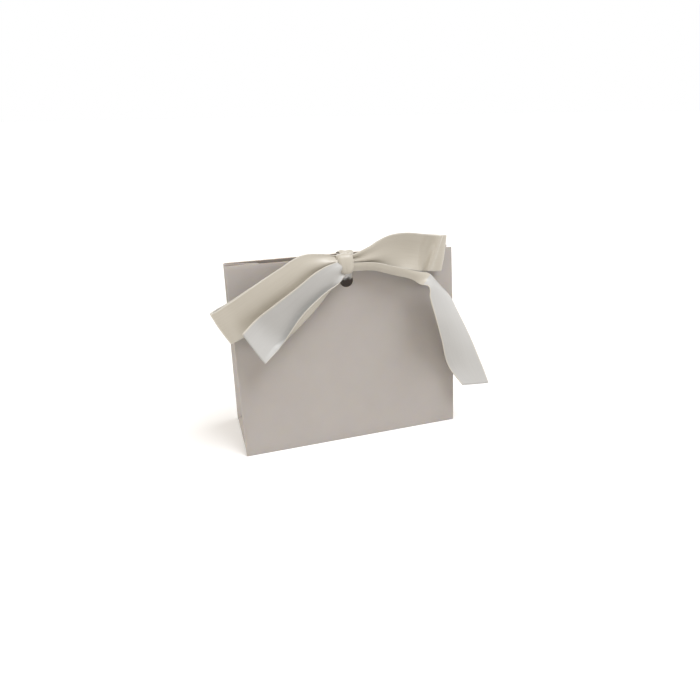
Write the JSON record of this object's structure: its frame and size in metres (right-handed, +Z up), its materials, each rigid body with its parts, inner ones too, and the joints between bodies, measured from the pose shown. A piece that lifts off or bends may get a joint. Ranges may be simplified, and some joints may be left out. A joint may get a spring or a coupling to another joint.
{
  "type": "favour box",
  "caption": "Wedge-shaped favour box folded from ivory card with gusseted ends and a mouth along the top, held shut by a satin ribbon tied in a bow through punched holes.",
  "frame": {"origin": "middle of the underside of the base, where the box stands", "axes": "+X along the width of the panels, -Y towards the front panel with the bow, +Z up to the mouth"},
  "size_m": [0.1249, 0.0379, 0.0913],
  "materials": {
    "ivory_card": "matt uncoated ivory card with a faint pearl",
    "satin_ribbon": "ivory double-faced polyester satin"
  },
  "bodies": {
    "base": {"base_panel": "ivory_card", "left_base_tab": "ivory_card", "right_base_tab": "ivory_card"},
    "front_panel": {"front_panel": "ivory_card", "ribbon_knot": "satin_ribbon", "ribbon_loop_left": "satin_ribbon", "ribbon_loop_right": "satin_ribbon", "ribbon_tail_left": "satin_ribbon", "ribbon_tail_right": "satin_ribbon", "ribbon_strand_over_mouth": "satin_ribbon", "ribbon_strand_front": "satin_ribbon"},
    "back_panel": {"back_panel": "ivory_card", "left_glue_flap": "ivory_card", "right_glue_flap": "ivory_card", "ribbon_strand_back": "satin_ribbon"},
    "left_gusset_front": {"left_gusset_front": "ivory_card"},
    "left_gusset_back": {"left_gusset_back": "ivory_card"},
    "left_gusset_foot": {"left_gusset_foot": "ivory_card"},
    "right_gusset_front": {"right_gusset_front": "ivory_card"},
    "right_gusset_back": {"right_gusset_back": "ivory_card"},
    "right_gusset_foot": {"right_gusset_foot": "ivory_card"}
  },
  "joints": [
    {"name": "front_panel_hinge", "type": "hinge", "parent": "base", "child": "front_panel", "pos_m": [0, -0.01675, 0.00025], "axis": [1, 0, 0], "range_deg": [0, 5.53], "deforming": ["ribbon_strand_over_mouth", "ribbon_strand_front"]},
    {"name": "back_panel_hinge", "type": "hinge", "parent": "base", "child": "back_panel", "pos_m": [0, 0.01675, 0.00025], "axis": [-1, 0, 0], "range_deg": [0, 5.54], "deforming": ["ribbon_strand_back"]},
    {"name": "left_gusset_front_crease", "type": "hinge", "parent": "front_panel", "child": "left_gusset_front", "pos_m": [-0.04975, -0.01611, 0.00014], "axis": [0, 0.1685, 0.9857], "range_deg": [0, 37.35]},
    {"name": "left_gusset_back_crease", "type": "hinge", "parent": "back_panel", "child": "left_gusset_back", "pos_m": [-0.04975, 0.01557, 0.00005], "axis": [0, 0.1685, -0.9857], "range_deg": [0, 37.35]},
    {"name": "left_gusset_foot_crease", "type": "hinge", "parent": "base", "child": "left_gusset_foot", "pos_m": [-0.04975, 0, 0.0003], "axis": [0, -1, 0], "range_deg": [0, 32.97]},
    {"name": "right_gusset_front_crease", "type": "hinge", "parent": "front_panel", "child": "right_gusset_front", "pos_m": [0.04975, -0.01611, 0.00014], "axis": [0, -0.1685, -0.9857], "range_deg": [0, 37.35]},
    {"name": "right_gusset_back_crease", "type": "hinge", "parent": "back_panel", "child": "right_gusset_back", "pos_m": [0.04975, 0.01557, 0.00005], "axis": [0, -0.1685, 0.9857], "range_deg": [0, 37.35]},
    {"name": "right_gusset_foot_crease", "type": "hinge", "parent": "base", "child": "right_gusset_foot", "pos_m": [0.04975, 0, 0.0003], "axis": [0, 1, 0], "range_deg": [0, 32.97]}
  ],
  "couplings": [
    {"joint": "back_panel_hinge", "follows": "front_panel_hinge", "ratio": 1},
    {"joint": "left_gusset_front_crease", "follows": "front_panel_hinge", "ratio": 6.7462},
    {"joint": "left_gusset_back_crease", "follows": "front_panel_hinge", "ratio": 6.7462},
    {"joint": "left_gusset_foot_crease", "follows": "front_panel_hinge", "ratio": 5.9542},
    {"joint": "right_gusset_front_crease", "follows": "front_panel_hinge", "ratio": 6.7462},
    {"joint": "right_gusset_back_crease", "follows": "front_panel_hinge", "ratio": 6.7462},
    {"joint": "right_gusset_foot_crease", "follows": "front_panel_hinge", "ratio": 5.9542}
  ]
}
